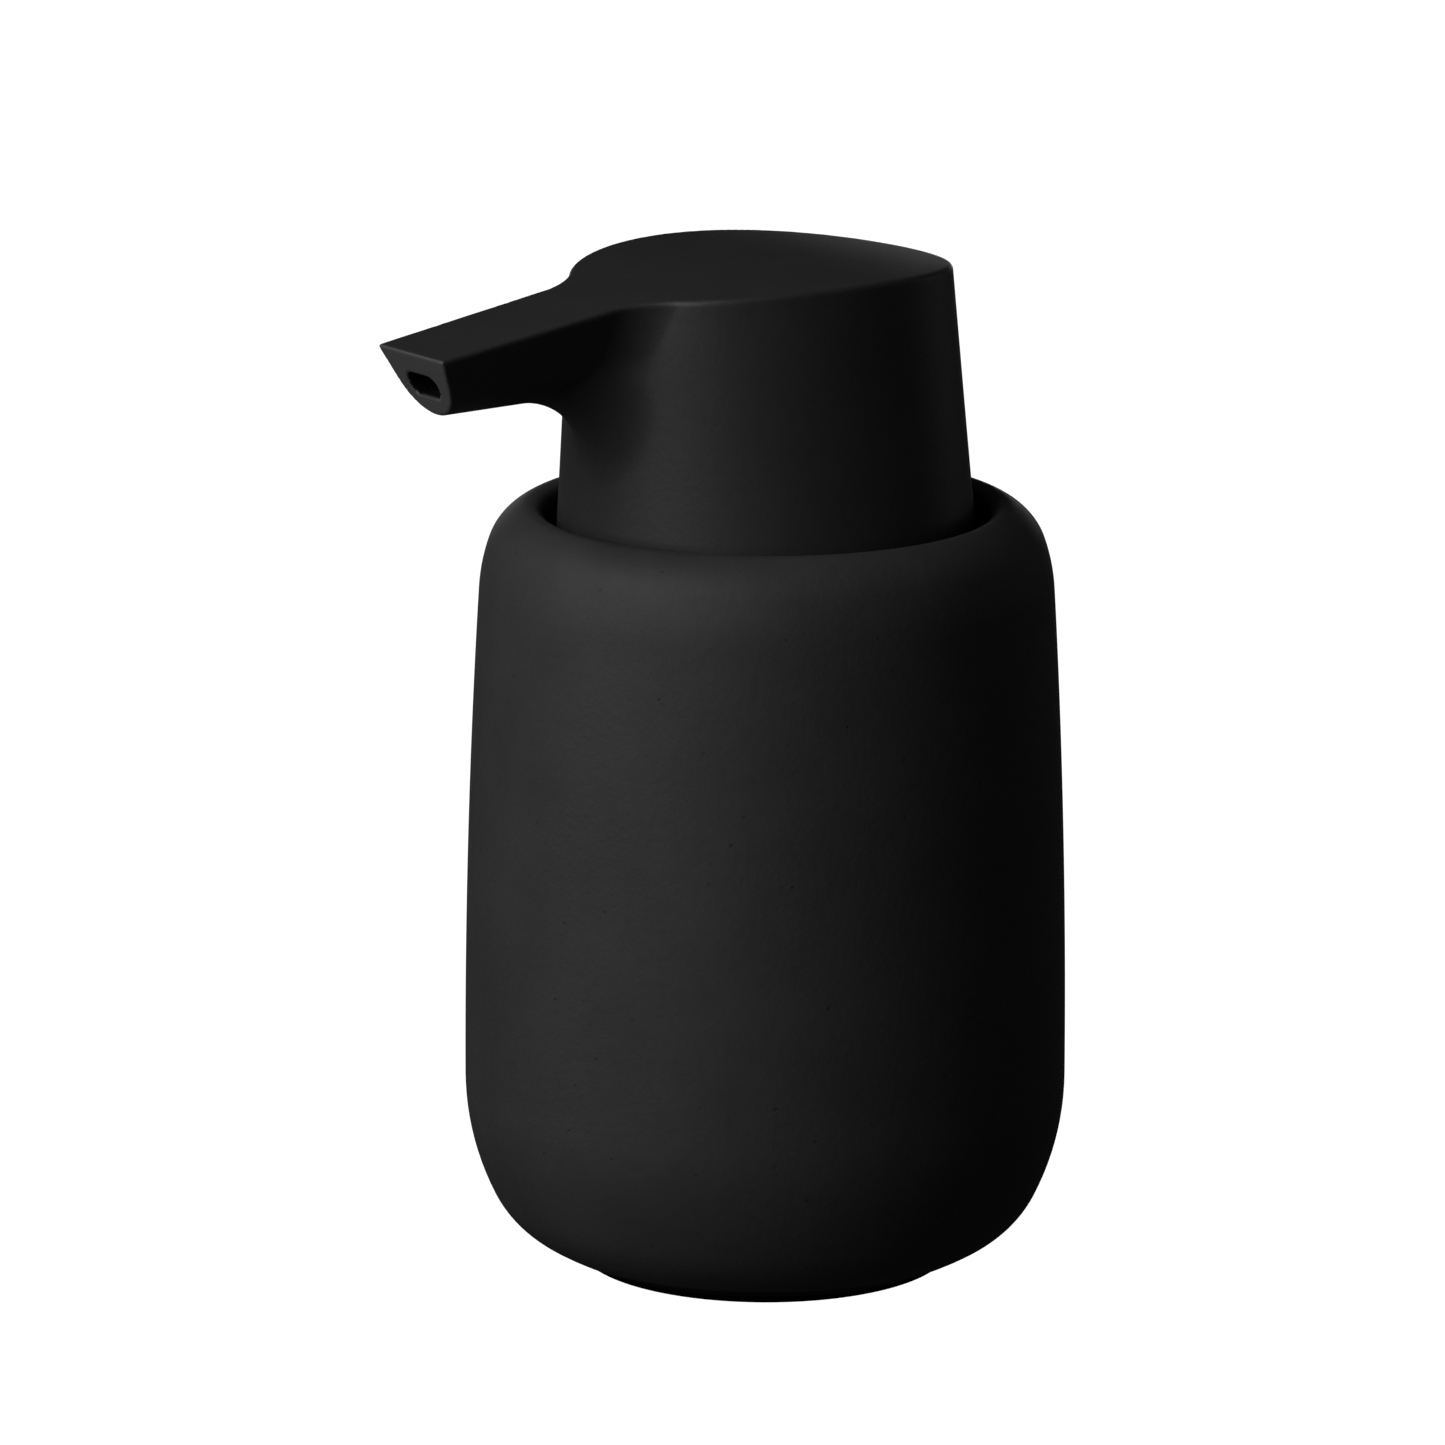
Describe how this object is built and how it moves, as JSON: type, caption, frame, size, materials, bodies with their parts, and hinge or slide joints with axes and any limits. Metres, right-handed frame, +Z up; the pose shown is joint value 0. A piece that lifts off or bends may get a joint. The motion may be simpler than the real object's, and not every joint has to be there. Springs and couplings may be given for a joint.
{
  "type": "soap pump dispenser",
  "caption": "Free-standing soap dispenser: a round-shouldered ceramic bottle whose recessed top takes a push-down pump with a tapered head and a flat-topped beak spout.",
  "frame": {"origin": "centre of the face of the base pad that stands on the table", "axes": "+Z up, along the axis of the bottle and the pump; the spout points along -Y"},
  "size_m": [0.0856, 0.1043, 0.1448],
  "materials": {
    "glazed_stoneware": "matt soft-touch glaze",
    "soft_touch_plastic": "soft-touch coat",
    "black_silicone": "matt",
    "black_plastic": "moulded, fine texture",
    "grey_gasket": "matt",
    "clear_plastic": "natural, translucent",
    "white_plastic": "moulded, satin",
    "white_seal": "satin",
    "steel": "polished stainless"
  },
  "bodies": {
    "bottle": {"bottle": "glazed_stoneware", "base_pad": "black_silicone", "neck_sleeve": "black_plastic"},
    "pump_unit": {"pump_plug": "black_plastic", "plug_seals": "black_silicone", "flange_gasket": "grey_gasket", "pump_cylinder": "clear_plastic", "guide_collar": "black_plastic", "stem_wiper": "black_silicone", "ball_cage": "white_plastic", "dip_tube": "clear_plastic", "return_spring": "steel"},
    "inlet_ball": {"inlet_ball": "steel"},
    "plunger": {"stem": "white_plastic", "piston_core": "white_plastic", "piston_seal": "white_seal", "outlet_cage": "white_plastic"},
    "outlet_ball": {"outlet_ball": "steel"},
    "head": {"head_shell": "soft_touch_plastic", "head_core": "black_plastic", "spout_tube": "clear_plastic"}
  },
  "joints": [
    {"name": "pump_lift", "type": "slide", "parent": "bottle", "child": "pump_unit", "axis": [0, 0, 1], "range_m": [0, 0.105]},
    {"name": "press", "type": "slide", "parent": "pump_unit", "child": "plunger", "axis": [0, 0, -1], "range_m": [0, 0.012], "stiffness_N_per_m": 700, "springref_m": -0.012, "deforming": ["return_spring"]},
    {"name": "head_swivel", "type": "hinge", "parent": "plunger", "child": "head", "pos_m": [0, 0, 0.118], "axis": [0, 0, 1], "continuous": true},
    {"name": "inlet_ball_lift", "type": "slide", "parent": "pump_unit", "child": "inlet_ball", "axis": [0, 0, 1], "range_m": [0, 0.002]},
    {"name": "outlet_ball_lift", "type": "slide", "parent": "plunger", "child": "outlet_ball", "axis": [0, 0, 1], "range_m": [0, 0.0012]}
  ]
}
